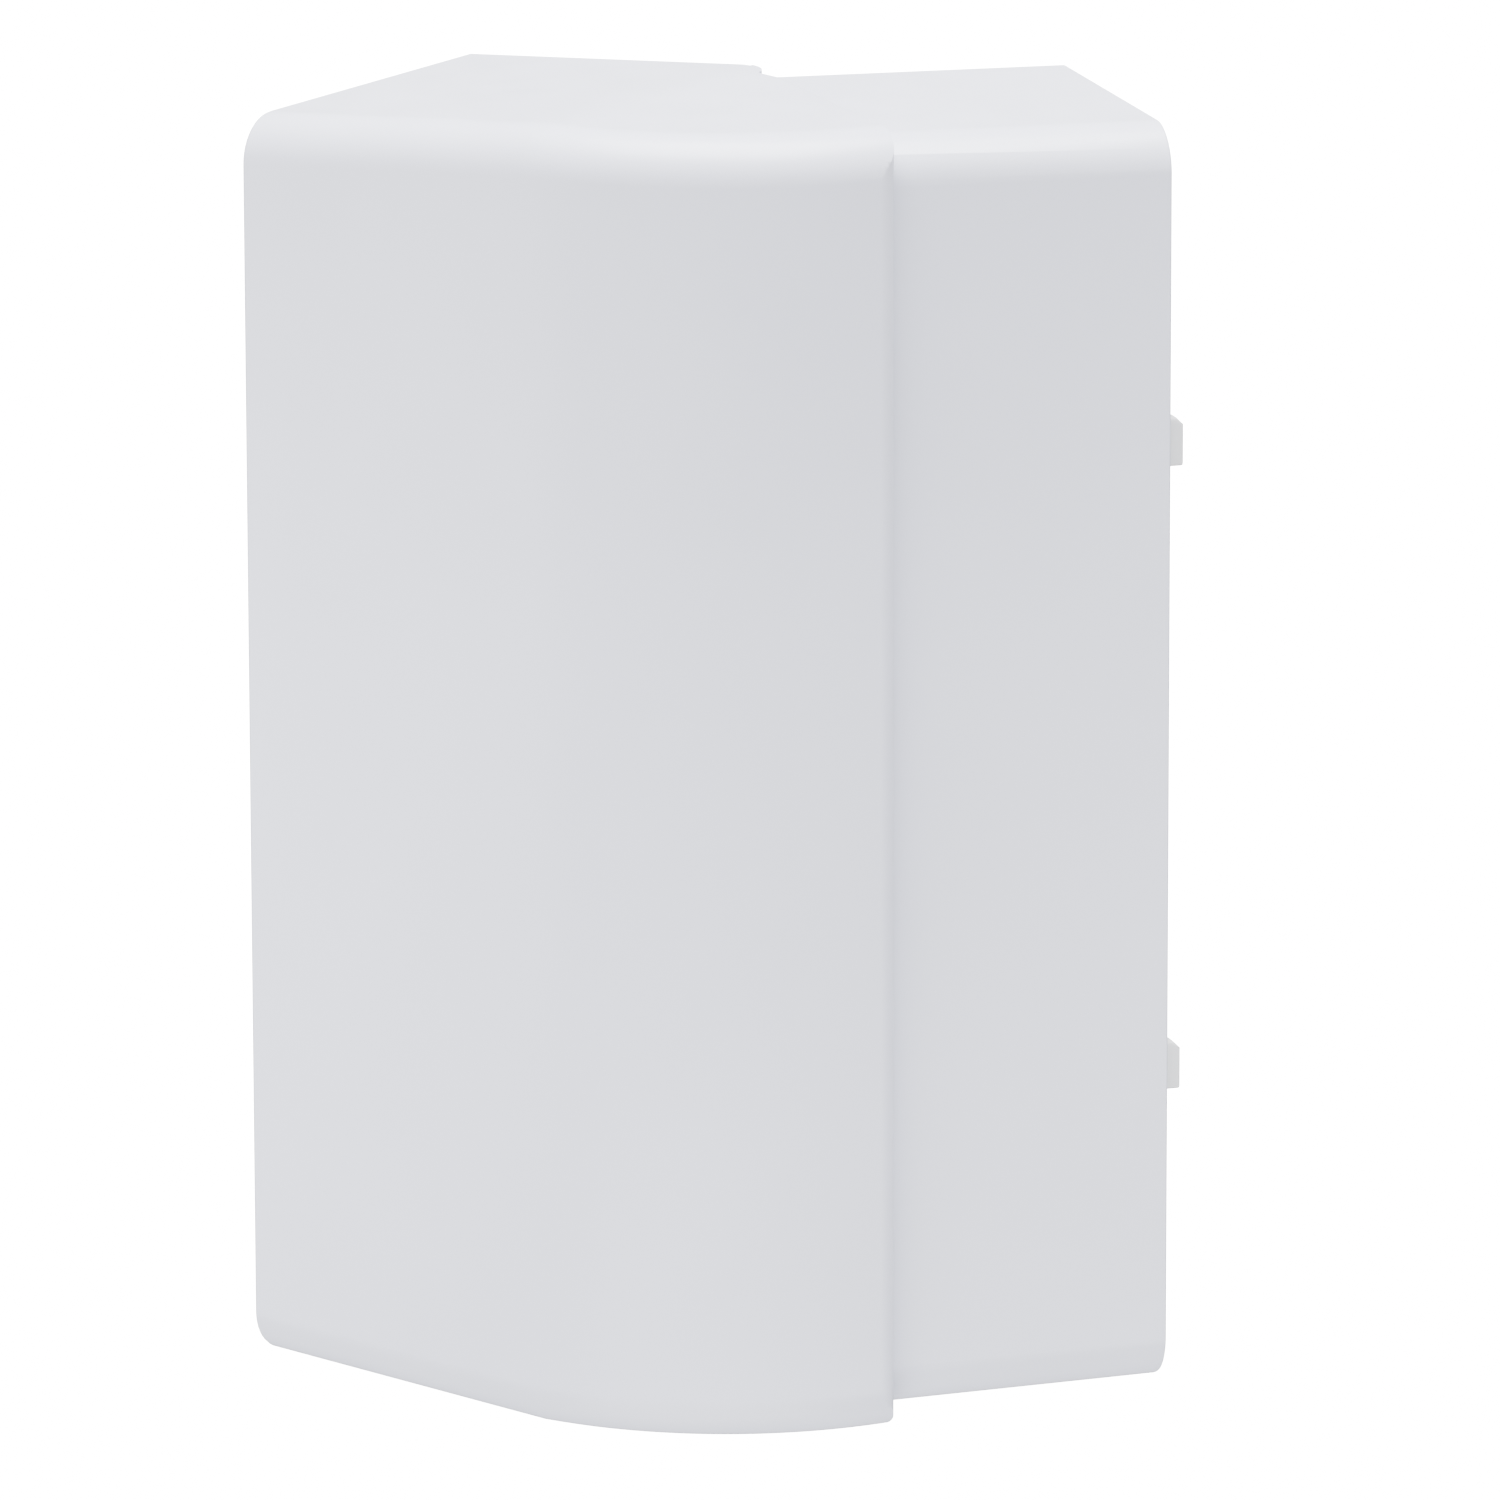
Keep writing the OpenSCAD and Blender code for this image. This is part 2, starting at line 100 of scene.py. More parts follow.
def shaded(color, share):
    """A darker shade of a colour, at this share of its brightness."""
    return tuple(share * channel for channel in color)


def shader_of(material):
    return material.node_tree.nodes["Principled BSDF"]


def link(material, output, socket):
    material.node_tree.links.new(output, shader_of(material).inputs[socket])


def place_of(material, stretch=(1, 1, 1)):
    """The object's own coordinates in metres, stretched along each axis."""
    tree = material.node_tree
    place = tree.nodes.new("ShaderNodeTexCoord").outputs["Object"]
    if stretch == (1, 1, 1):
        return place
    mapping = tree.nodes.new("ShaderNodeMapping")
    mapping.inputs["Scale"].default_value = stretch
    tree.links.new(place, mapping.inputs["Vector"])
    return mapping.outputs["Vector"]


def noise(material, size, detail=3.0, stretch=(1, 1, 1)):
    """Noise whose patches are about size metres across, from 0 to 1."""
    texture = material.node_tree.nodes.new("ShaderNodeTexNoise")
    texture.inputs["Scale"].default_value = 1 / size
    texture.inputs["Detail"].default_value = detail
    material.node_tree.links.new(place_of(material, stretch), texture.inputs["Vector"])
    return texture.outputs["Fac"]


def cells(material, size, feature="F1", output="Distance", stretch=(1, 1, 1)):
    """Voronoi cells about size metres across."""
    texture = material.node_tree.nodes.new("ShaderNodeTexVoronoi")
    texture.feature = feature
    texture.inputs["Scale"].default_value = 1 / size
    material.node_tree.links.new(place_of(material, stretch), texture.inputs["Vector"])
    return texture.outputs[output]


def spread(material, value, low, high, to_low, to_high):
    """Value from low to high becomes to_low to to_high, and stays inside them."""
    node = material.node_tree.nodes.new("ShaderNodeMapRange")
    for socket, number in zip(("From Min", "From Max", "To Min", "To Max"), (low, high, to_low, to_high)):
        node.inputs[socket].default_value = number
    material.node_tree.links.new(value, node.inputs["Value"])
    return node.outputs["Result"]


def combine(material, operation, first, second):
    """Two values joined by a maths operation. Second may be a plain number."""
    node = material.node_tree.nodes.new("ShaderNodeMath")
    node.operation = operation
    material.node_tree.links.new(first, node.inputs[0])
    if isinstance(second, (int, float)):
        node.inputs[1].default_value = second
    else:
        material.node_tree.links.new(second, node.inputs[1])
    return node.outputs["Value"]


def blend_colors(material, share, first, second):
    """First colour at share 0, second at share 1. Either may be an output or three numbers."""
    node = material.node_tree.nodes.new("ShaderNodeMix")
    node.data_type = "RGBA"
    first_color, second_color, color_result = 6, 7, 2   # by number, as several sockets share a name
    material.node_tree.links.new(share, node.inputs["Factor"])
    for color, socket in ((first, node.inputs[first_color]), (second, node.inputs[second_color])):
        if isinstance(color, tuple):
            socket.default_value = (*color, 1)
        else:
            material.node_tree.links.new(color, socket)
    return node.outputs[color_result]


def raise_surface(material, *heights):
    """Bump from pairs of a height from 0 to 1 and its depth in metres."""
    normal = None
    for height, depth in heights:
        node = material.node_tree.nodes.new("ShaderNodeBump")
        node.inputs["Distance"].default_value = depth
        material.node_tree.links.new(height, node.inputs["Height"])
        if normal:
            material.node_tree.links.new(normal, node.inputs["Normal"])
        normal = node.outputs["Normal"]
    link(material, normal, "Normal")


# ---------- materials ----------


def moulded(name, color, roughness, grain, grain_depth, specks=0.0, **constants):
    """Moulded plastic: uneven tone, spark-eroded grain, slow sink marks and a few trapped specks."""
    tone_size, speck_spacing, gloss_size, sink_size = 18 * MM, 9 * MM, 6 * MM, 25 * MM
    sink_depth = 0.02 * MM
    uneven = 0.05   # roughness varies this much each way
    material = new_material(name, color, roughness, **constants)
    tone = spread(material, noise(material, tone_size), 0.3, 0.7, 0, 1)
    surface = blend_colors(material, tone, shaded(color, 0.965), color)
    if specks:
        near = spread(material, cells(material, speck_spacing), 0.010, 0.018, 1, 0)
        pick = cells(material, speck_spacing, output="Color")
        chosen = spread(material, pick, 1 - specks, 1 - specks + 0.01, 0, 1)
        speck = combine(material, "MULTIPLY", near, chosen)
        surface = blend_colors(material, speck, surface, shaded(color, 0.45))
    link(material, surface, "Base Color")
    gloss = noise(material, gloss_size, 5)
    link(material, spread(material, gloss, 0.25, 0.75, roughness - uneven, roughness + uneven), "Roughness")
    sinks = noise(material, sink_size, 1)
    raise_surface(material, (sinks, sink_depth), (noise(material, grain, 2), grain_depth))
    return material


def casing():
    return moulded("casing", (0.765, 0.785, 0.905), 0.38, 0.25 * MM, 0.0025 * MM, specks=0.05,
                   Coat_Weight=0.12, Coat_Roughness=0.25)


def door():
    return moulded("door", (0.79, 0.80, 0.835), 0.42, 0.3 * MM, 0.005 * MM, specks=0.03)


def plate():
    return moulded("plate", (0.84, 0.85, 0.87), 0.55, 0.4 * MM, 0.012 * MM)


def bezel():
    return moulded("bezel", (0.78, 0.79, 0.82), 0.36, 0.25 * MM, 0.003 * MM, specks=0.02)


def inner():
    return moulded("inner", (0.56, 0.57, 0.58), 0.5, 0.5 * MM, 0.015 * MM)


def black():
    return moulded("black", (0.02, 0.02, 0.022), 0.6, 0.3 * MM, 0.02 * MM)


def chip():
    return moulded("chip", (0.028, 0.028, 0.031), 0.5, 0.12 * MM, 0.01 * MM)


def switch():
    return moulded("switch", (0.055, 0.055, 0.06), 0.45, 0.3 * MM, 0.01 * MM)


def button():
    return moulded("button", (0.55, 0.02, 0.015), 0.3, 0.3 * MM, 0.004 * MM, Coat_Weight=0.3)


def washer():
    return moulded("washer", (0.72, 0.69, 0.58), 0.45, 0.3 * MM, 0.006 * MM)


def lens():
    """Milky polyethylene, clearer in its thin places, with a waxy sheen."""
    material = new_material("lens", (0.86, 0.87, 0.87), 0.32, Subsurface_Weight=0.35,
                            Subsurface_Scale=1.2 * MM, Transmission_Weight=0.12, IOR=1.51)
    cloud = spread(material, noise(material, 7 * MM, 4), 0.3, 0.7, 0, 1)
    link(material, blend_colors(material, cloud, (0.80, 0.815, 0.82), (0.88, 0.885, 0.88)), "Base Color")
    link(material, spread(material, noise(material, 3 * MM), 0.3, 0.7, 0.27, 0.38), "Roughness")
    raise_surface(material, (noise(material, 0.3 * MM), 0.004 * MM))
    return material


def foam():
    """Closed-cell foam: open pores on the cut faces."""
    material = new_material("foam", (0.02, 0.02, 0.022), 0.9)
    pores = spread(material, cells(material, 0.22 * MM), 0.2, 0.6, 0, 1)
    link(material, blend_colors(material, pores, (0.008, 0.008, 0.009), (0.035, 0.035, 0.038)), "Base Color")
    raise_surface(material, (pores, 0.08 * MM))
    return material


def board():
    """Solder mask: darker laminate under it, copper runs that stand up a little, woven glass below."""
    material = new_material("board", (0.012, 0.14, 0.05), 0.3, Coat_Weight=0.4, Coat_Roughness=0.12)
    runs = cells(material, 2.6 * MM, feature="DISTANCE_TO_EDGE")
    copper = spread(material, runs, 0.05, 0.09, 1, 0)
    weave = spread(material, noise(material, 0.45 * MM, 1, (1, 1, 0.3)), 0.35, 0.65, 0, 1)
    laminate = blend_colors(material, weave, (0.008, 0.10, 0.032), (0.014, 0.135, 0.048))
    link(material, blend_colors(material, copper, laminate, (0.03, 0.27, 0.10)), "Base Color")
    raise_surface(material, (copper, 0.035 * MM), (weave, 0.006 * MM))
    return material


def metal(name, color, roughness, along, streaks=0.10, stains=0.12):
    """Bare or plated metal with fine drawing marks, dull patches and small scratches."""
    material = new_material(name, color, roughness, Metallic=1.0)
    marks = noise(material, 0.5 * MM, 4, along)
    dull = spread(material, noise(material, 4 * MM, 4), 0.4, 0.75, 0, 1)
    link(material, blend_colors(material, dull, color, shaded(color, 1 - stains)), "Base Color")
    smooth, rough = roughness - streaks / 2, roughness + streaks
    link(material, spread(material, marks, 0.3, 0.7, smooth, rough), "Roughness")
    raise_surface(material, (marks, 0.006 * MM))
    return material


def screw():
    return metal("screw", (0.62, 0.62, 0.60), 0.32, (4, 4, 1))


def pin():
    return metal("pin", (0.58, 0.58, 0.59), 0.25, (1, 1, 6))


def can():
    return metal("can", (0.70, 0.67, 0.60), 0.2, (1, 1, 5), streaks=0.06)


def shield():
    return metal("shield", (0.66, 0.66, 0.64), 0.35, (0.4, 0.4, 5))


def gold():
    return metal("gold", (0.83, 0.56, 0.20), 0.22, (4, 4, 1), streaks=0.06)


def contact():
    return metal("contact", (0.68, 0.66, 0.62), 0.24, (5, 5, 1))


def filter_window():
    """Coated silicon: nearly black, with a faint interference tint that drifts."""
    material = new_material("filter", (0.02, 0.022, 0.03), 0.08, IOR=2.4,
                            Coat_Weight=1.0, Coat_Roughness=0.03)
    tint = spread(material, noise(material, 5 * MM, 1), 0.35, 0.65, 0, 1)
    link(material, blend_colors(material, tint, (0.018, 0.020, 0.035), (0.035, 0.024, 0.030)), "Base Color")
    link(material, spread(material, noise(material, 1 * MM), 0.3, 0.8, 0.05, 0.14), "Roughness")
    return material


def capacitor_sleeve():
    """Heat-shrunk sleeve: slight orange peel and an uneven tone."""
    material = new_material("capacitor", (0.02, 0.03, 0.11), 0.28, Coat_Weight=0.3, Coat_Roughness=0.2)
    peel = noise(material, 0.6 * MM, 2)
    tone = spread(material, noise(material, 4 * MM), 0.35, 0.65, 0, 1)
    link(material, blend_colors(material, tone, (0.015, 0.022, 0.085), (0.025, 0.036, 0.13)), "Base Color")
    raise_surface(material, (peel, 0.02 * MM))
    return material


def led():
    """Tinted clear epoxy."""
    material = new_material("led", (0.65, 0.02, 0.012), 0.08, Transmission_Weight=0.5, IOR=1.54)
    haze = spread(material, noise(material, 1.5 * MM), 0.3, 0.7, 0, 1)
    link(material, blend_colors(material, haze, (0.55, 0.012, 0.008), (0.72, 0.03, 0.02)), "Base Color")
    link(material, spread(material, noise(material, 0.8 * MM), 0.3, 0.7, 0.05, 0.13), "Roughness")
    return material


def pipe():
    """Clear polycarbonate with a frosted end and a few flow lines."""
    material = new_material("pipe", (0.90, 0.92, 0.93), 0.15, Transmission_Weight=0.75, IOR=1.58)
    flow = noise(material, 1.5 * MM, 3, (1, 0.2, 1))
    link(material, blend_colors(material, spread(material, flow, 0.3, 0.7, 0, 1),
                                (0.84, 0.87, 0.88), (0.93, 0.94, 0.94)), "Base Color")
    link(material, spread(material, flow, 0.3, 0.7, 0.1, 0.3), "Roughness")
    raise_surface(material, (flow, 0.01 * MM))
    return material


def battery_sleeve():
    """Shrink sleeve printed in one colour: fine wrinkles and a soft sheen."""
    material = new_material("battery", (0.03, 0.11, 0.24), 0.3, Coat_Weight=0.4, Coat_Roughness=0.15)
    wrinkles = noise(material, 3 * MM, 4, (1, 1, 0.25))
    tone = spread(material, wrinkles, 0.3, 0.7, 0, 1)
    link(material, blend_colors(material, tone, (0.022, 0.085, 0.20), (0.036, 0.13, 0.28)), "Base Color")
    link(material, spread(material, noise(material, 2 * MM), 0.3, 0.7, 0.24, 0.38), "Roughness")
    raise_surface(material, (wrinkles, 0.03 * MM))
    return material


MATERIALS = {
    "casing": casing(), "door": door(), "plate": plate(), "bezel": bezel(), "lens": lens(),
    "foam": foam(), "inner": inner(), "board": board(), "screw": screw(), "pin": pin(),
    "washer": washer(), "can": can(), "filter": filter_window(), "black": black(), "chip": chip(),
    "shield": shield(), "gold": gold(), "capacitor": capacitor_sleeve(), "led": led(), "pipe": pipe(),
    "battery": battery_sleeve(), "contact": contact(), "switch": switch(), "button": button(),
}

# ---------- helpers for meshes ----------


def box_in(node, place):
    """Lowest and highest corner of a CAD node, seen in the frame that place sets."""
    inverse = place.inverted()
    points = [inverse @ vertex.co for vertex in NODES[node].data.vertices]
    return tuple(Vector(pick(point[axis] for point in points) for axis in range(3)) for pick in (min, max))


def mesh_object(name, points, faces):
    mesh = bpy.data.meshes.new(name)
    mesh.from_pydata(points, [], faces)
    piece = bpy.data.objects.new(name, mesh)
    bpy.context.scene.collection.objects.link(piece)
    return piece


def tidy(piece, merge):
    """Joins points that coincide, clears the edges inside flat faces and cuts large ones into triangles."""
    mesh = bmesh.new()
    mesh.from_mesh(piece.data)
    bmesh.ops.remove_doubles(mesh, verts=mesh.verts, dist=merge)
    bmesh.ops.dissolve_degenerate(mesh, edges=mesh.edges, dist=merge)
    flat = math.radians(0.4)
    bmesh.ops.dissolve_limit(mesh, angle_limit=flat, verts=mesh.verts, edges=mesh.edges)
    bmesh.ops.triangulate(mesh, faces=[face for face in mesh.faces if len(face.verts) > 4])
    bmesh.ops.recalc_face_normals(mesh, faces=mesh.faces)
    mesh.to_mesh(piece.data)
    mesh.free()


def face_width(face):
    """Roughly the narrow side of a face."""
    return 2 * face.calc_area() / sum(edge.calc_length() for edge in face.edges)


def soften(piece, width, corner=50, steps=2):
    """Rounds the sharp edges by width, keeps smaller ones crisp and shades the rest smoothly."""
    sliver = 0.12 * MM
    crisp = math.radians(35)
    piece.data.shade_smooth()
    mesh = bmesh.new()
    mesh.from_mesh(piece.data)
    weight = mesh.edges.layers.float.new("bevel_weight_edge")
    for edge in mesh.edges:
        if len(edge.link_faces) != 2 or edge.calc_face_angle() < crisp:
            continue
        wide = min(face_width(face) for face in edge.link_faces) > sliver
        rounds = width and wide and edge.calc_face_angle() > math.radians(corner)
        edge[weight] = 1.0 if rounds else 0.0
        edge.smooth = bool(rounds)
    mesh.to_mesh(piece.data)
    mesh.free()
    if width:
        bevel = piece.modifiers.new("round", "BEVEL")
        bevel.width = width
        bevel.segments = steps
        bevel.limit_method = "WEIGHT"
        bevel.use_clamp_overlap = False
    shade = piece.modifiers.new("shade", "WEIGHTED_NORMAL")
    shade.keep_sharp = True


def stand_for(piece, nodes, slot=None):
    """The piece replaces these CAD nodes: it rides on their body and has their finish."""
    nodes = [nodes] if isinstance(nodes, str) else nodes
    slot = slot or SLOT[nodes[0]]
    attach(piece, BODY[nodes[0]])
    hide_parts(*nodes)
    return finish_piece(piece, slot)


def go_with(piece, node, slot):
    """The piece is a detail of a CAD node: it rides on the node's body."""
    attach(piece, BODY[node])
    return finish_piece(piece, slot)


def finish_piece(piece, slot):
    piece.data.materials.clear()
    piece.data.materials.append(MATERIALS[slot])
    return piece


def refined(node, width, merge=0.01 * MM):
    """A CAD node's own shape with its edges rounded as a mould rounds them."""
    source = NODES[node].data
    points = [vertex.co.copy() for vertex in source.vertices]
    faces = [tuple(polygon.vertices) for polygon in source.polygons]
    piece = mesh_object(node + "_skin", points, faces)
    tidy(piece, merge)
    soften(piece, width)
    return stand_for(piece, node)


# how far the edges of each node that keeps its CAD shape are rounded
REFINED = {
    "head_shell": 0.35 * MM, "base_housing": 0.22 * MM, "back_plate": 0.2 * MM, "battery_door": 0.15 * MM,
    "front_bezel": 0.2 * MM, "lens_gasket": 0.08 * MM, "lens_retainer": 0.15 * MM, "chassis": 0.15 * MM,
    "curtain_hood": 0.15 * MM, "main_board": 0.08 * MM, "radio_board": 0.06 * MM, "tamper_board": 0.08 * MM,
    "radio_shield": 0.12 * MM, "tamper_switch": 0.2 * MM, "learn_switch": 0.2 * MM, "lock_screw": 0.12 * MM,
    "board_screws": 0.1 * MM, "chassis_screws": 0.1 * MM, "tamper_board_screws": 0.1 * MM,
    "hinge_pins": 0.12 * MM, "swivel_washers": 0.06 * MM, "pyro_window": 0.05 * MM,
    "battery_positive_contact": 0.08 * MM,
    "learn_button": 0.25 * MM, "tamper_plunger": 0.15 * MM,
}
for node, width in REFINED.items():
    refined(node, width)

# ---------- pieces with more detail than their CAD solids ----------


def placed(piece, place):
    """Moves the mesh itself, so that the object stays at the origin."""
    piece.data.transform(place)
    return piece


def ring_faces(rings, around, closed):
    """Quads between rings of around points each, with flat ends unless closed into a loop."""
    faces = []
    for ring in range(rings if closed else rings - 1):
        after = (ring + 1) % rings
        for step in range(around):
            near, far = step, (step + 1) % around
            faces.append((ring * around + near, ring * around + far,
                          after * around + far, after * around + near))
    if not closed:
        faces.append(tuple(reversed(range(around))))
        faces.append(tuple(range((rings - 1) * around, rings * around)))
    return faces


def lathe(profile, place, around=48):
    """Points and faces of a solid turned about the Z axis of place, from (radius, height) pairs."""
    points = [place @ Vector((radius * math.cos(2 * math.pi * step / around),
                              radius * math.sin(2 * math.pi * step / around), height))
              for radius, height in profile for step in range(around)]
    return points, ring_faces(len(profile), around, closed=False)


def tube(path, radius, around=16):
    """Points and faces of a round wire along a path."""
    points = []
    side = None
    for index, spot in enumerate(path):
        along = (path[min(index + 1, len(path) - 1)] - path[max(index - 1, 0)]).normalized()
        side = (side or along.orthogonal()).normalized()
        side = (side - side.dot(along) * along).normalized()
        other = along.cross(side)
        for step in range(around):
            turn = 2 * math.pi * step / around
            points.append(spot + radius * (math.cos(turn) * side + math.sin(turn) * other))
    return points, ring_faces(len(path), around, closed=False)


def block(low, high):
    """Points and faces of a box between two corners."""
    points = [Vector((x, y, z)) for z in (low[2], high[2]) for x, y in
              ((low[0], low[1]), (high[0], low[1]), (high[0], high[1]), (low[0], high[1]))]
    return points, [(3, 2, 1, 0), (4, 5, 6, 7), (0, 1, 5, 4), (1, 2, 6, 5), (2, 3, 7, 6), (3, 0, 4, 7)]


def joined(name, *parts):
    """One object from several lists of points and faces."""
    points, faces = [], []
    for part_points, part_faces in parts:
        faces += [tuple(index + len(points) for index in face) for face in part_faces]
        points += part_points
    piece = mesh_object(name, points, faces)
    mesh = bmesh.new()
    mesh.from_mesh(piece.data)
    bmesh.ops.recalc_face_normals(mesh, faces=mesh.faces)
    mesh.to_mesh(piece.data)
    mesh.free()
    return piece


def facing_front(x, y, z):
    """A frame at a point of the head whose Z axis looks out of the front face."""
    return HEAD @ Matrix.Translation((x, y, z)) @ Matrix.Rotation(math.pi / 2, 4, "X")


def standing(x, y, z):
    return HEAD @ Matrix.Translation((x, y, z))


def sheet_faces(rows, columns):
    """Faces of a sheet whose outside is a grid and whose inside is one band, with its four borders closed."""
    wide = columns + 1
    outer_count = (rows + 1) * wide
    faces = []
    for row in range(rows):
        for column in range(columns):
            start = row * wide + column
            faces.append((start, start + 1, start + wide + 1, start + wide))
    for column in range(columns):
        start = outer_count + column
        faces.append((start + wide, start + wide + 1, start + 1, start))
    last = rows * wide
    faces.append(tuple(reversed(range(wide))))
    faces.append(tuple(range(last, last + wide)))
    faces.append(tuple(outer_count + column for column in range(wide)))
    faces.append(tuple(reversed([outer_count + wide + column for column in range(wide)])))
    left_edge = [row * wide for row in range(rows + 1)]
    right_edge = [row * wide + columns for row in range(rows + 1)]
    faces.append(tuple(left_edge + [outer_count + wide, outer_count]))
    faces.append(tuple(reversed(right_edge + [outer_count + wide + columns, outer_count + columns])))
    faces.append((0, outer_count, outer_count + columns, columns))
    faces.append((last, last + columns, outer_count + wide + columns, outer_count + wide))
    return faces


def fresnel_lens():
    """A curved sheet whose outside carries ring grooves round the centre of each segment."""
    low, high = box_in("fresnel_lens", HEAD)
    flange, clear, thick, flange_t = 1.8 * MM, 0.2 * MM, 0.8 * MM, 1 * MM
    middle = (low.x + high.x) / 2
    half = (high.x - low.x) / 2 - flange - clear
    front_y = low.y
    back_y = high.y - flange_t
    z0, z1 = low.z + flange + clear, high.z - flange - clear
    sag = back_y - front_y
    radius = (half * half + sag * sag) / (2 * sag)
    axis_y = front_y + radius
    reach = math.asin(half / radius)
    inner_reach = math.acos((axis_y - back_y) / (radius - thick))
    columns, rows = 132, 300
    pitch, depth, seam_depth = 0.9 * MM, 0.07 * MM, 0.12 * MM
    seam_half, rounding_error = 0.14 * MM, 1e-9
    tiers = [(5, 0.0, 0.42), (4, 0.42, 0.75), (3, 0.75, 1.0)]   # segments, and where the tier starts and ends

    def groove(across, up):
        """Depth of the surface below the smooth lens, for shares across and up from 0 to 1."""
        count, start, end = next(tier for tier in tiers if up <= tier[2] + rounding_error)
        cell = min(int(across * count), count - 1)
        side = (across - (cell + 0.5) / count) * 2 * reach * radius
        rise = (up - (start + end) / 2) * (z1 - z0)
        wave = 0.5 - 0.5 * math.cos(2 * math.pi * math.hypot(side, rise) / pitch)
        edge = min(abs(across - round(across * count) / count) * 2 * reach * radius,
                   min(abs(up - border) for border in (start, end)) * (z1 - z0))
        return seam_depth if edge < seam_half else depth * wave

    def arc_point(share, r, limit, z):
        turn = (2 * share - 1) * limit
        return Vector((middle + r * math.sin(turn), axis_y - r * math.cos(turn), z))

    points = []
    for row in range(rows + 1):
        for column in range(columns + 1):
            across, up = column / columns, row / rows
            border = min(column, columns - column, row, rows - row) == 0
            cut = 0 if border else groove(across, 1 - up)
            points.append(arc_point(across, radius - cut, reach, z0 + up * (z1 - z0)))
    for row in range(2):
        for column in range(columns + 1):
            points.append(arc_point(column / columns, radius - thick, inner_reach,
                                    z0 + thick + row * (z1 - z0 - 2 * thick)))
    hole = thick + clear
    rim_low = (low.x, back_y, low.z)
    rim_high = (high.x, high.y, high.z)
    rim = frame_block(rim_low, rim_high, flange + hole)
    piece = joined("fresnel_lens_skin", (points, sheet_faces(rows, columns)), rim)
    placed(piece, HEAD)
    soften(piece, 0)
    stand_for(piece, "fresnel_lens")


def frame_block(low, high, border):
    """Points and faces of a flat frame across Y, with a rectangular hole border inside its edges."""
    outside = ((low[0], low[2]), (high[0], low[2]), (high[0], high[2]), (low[0], high[2]))
    inside = ((low[0] + border, low[2] + border), (high[0] - border, low[2] + border),
              (high[0] - border, high[2] - border), (low[0] + border, high[2] - border))
    points = [Vector((x, y, z)) for y in (low[1], high[1]) for loop in (outside, inside) for x, z in loop]
    faces = []
    for step in range(4):
        after = (step + 1) % 4
        faces.append((step, after, 4 + after, 4 + step))
        faces.append((8 + step, 12 + step, 12 + after, 8 + after))
        faces.append((step, 8 + step, 8 + after, after))
        faces.append((4 + step, 4 + after, 12 + after, 12 + step))
    return points, faces


def battery():
    """Steel can with a rolled shoulder, its sleeve, an insulating ring and the nub."""
    low, high = box_in("battery", HEAD)
    middle = (low + high) / 2
    radius = (high.x - low.x) / 2
    length = high.z - low.z
    nub, nub_r, sleeve_t, roll = 1 * MM, 3.2 * MM, 0.15 * MM, 0.5 * MM
    body = length - nub
    can_r, bead_r = radius - sleeve_t, radius - 3 * roll
    bead_start, bead_in, bead_out, bead_end = (body - drop * MM for drop in (3, 2.5, 2, 1.5))
    sleeve_in, sleeve_out = body - 2.4 * MM, body - 2.1 * MM
    place = standing(middle.x, middle.y, low.z)
    can = joined("battery_can", lathe([
        (radius - 1.2 * MM, 0), (can_r - roll, 0.02 * MM), (can_r - roll / 4, roll / 2), (can_r, roll),
        (can_r, bead_start), (bead_r, bead_in), (bead_r, bead_out), (can_r, bead_end), (can_r, body - roll),
        (radius - 2 * roll, body - 0.1 * MM), (nub_r + roll, body - 0.15 * MM), (nub_r, body),
        (nub_r, body + nub - 0.2 * MM), (nub_r - 0.2 * MM, body + nub)], place))
    soften(can, 0)
    stand_for(can, "battery", "contact")
    sleeve = joined("battery_sleeve", lathe([
        (radius - 1.5 * MM, 0), (radius - roll / 2, 0), (radius, roll / 2), (radius, bead_start),
        (radius - roll, sleeve_in), (radius - roll, sleeve_out), (radius, bead_end), (radius, body - roll),
        (radius - roll / 2, body), (radius - 4 * roll, body), (radius - 4 * roll, body - 0.3 * MM)], place))
    soften(sleeve, 0)
    stand_for(sleeve, "battery", "battery")


def negative_contact():
    """Spring plate with a conical coil wound from round wire."""
    low = box_in("battery_negative_contact", HEAD)[0]
    battery_low, battery_high = box_in("battery", HEAD)
    middle = (battery_low + battery_high) / 2
    plate_t, wire, turns, steps = 0.4 * MM, 0.28 * MM, 2.5, 90
    wide, taper = 2.9, 0.9   # the coil's radius at the plate and how much it loses, in mm
    plate = block((middle.x - 4 * MM, middle.y - 3 * MM, low.z),
                  (middle.x + 4 * MM, middle.y + 5 * MM, low.z + plate_t))
    start = low.z + plate_t + wire * 0.8
    end = battery_low.z - wire
    path = []
    for step in range(steps + 1):
        share = step / steps
        turn = 2 * math.pi * turns * share
        radius = (wide - taper * share) * MM
        path.append(Vector((middle.x + radius * math.cos(turn), middle.y + radius * math.sin(turn),
                            start + (end - start) * share)))
    piece = placed(joined("battery_negative_contact_skin", plate, tube(path, wire)), HEAD)
    soften(piece, 0.08 * MM)
    stand_for(piece, "battery_negative_contact")


def antenna():
    """Gold wire that stands up from the board, bends over and runs along it."""
    low, high = box_in("antenna", HEAD)
    wire = (high.x - low.x) / 2
    bend, bend_steps = 1.2 * MM, 6
    x, top_y, foot_y, z = low.x + wire, low.y + wire, high.y, low.z + wire
    path = [Vector((x, foot_y, z)), Vector((x, top_y + bend, z))]
    for step in range(1, bend_steps + 1):
        turn = math.pi / 2 * step / bend_steps
        path.append(Vector((x, top_y + bend - bend * math.sin(turn), z + bend - bend * math.cos(turn))))
    path.append(Vector((x, top_y, high.z)))
    piece = placed(joined("antenna_skin", tube(path, wire)), HEAD)
    soften(piece, 0.06 * MM)
    stand_for(piece, "antenna")


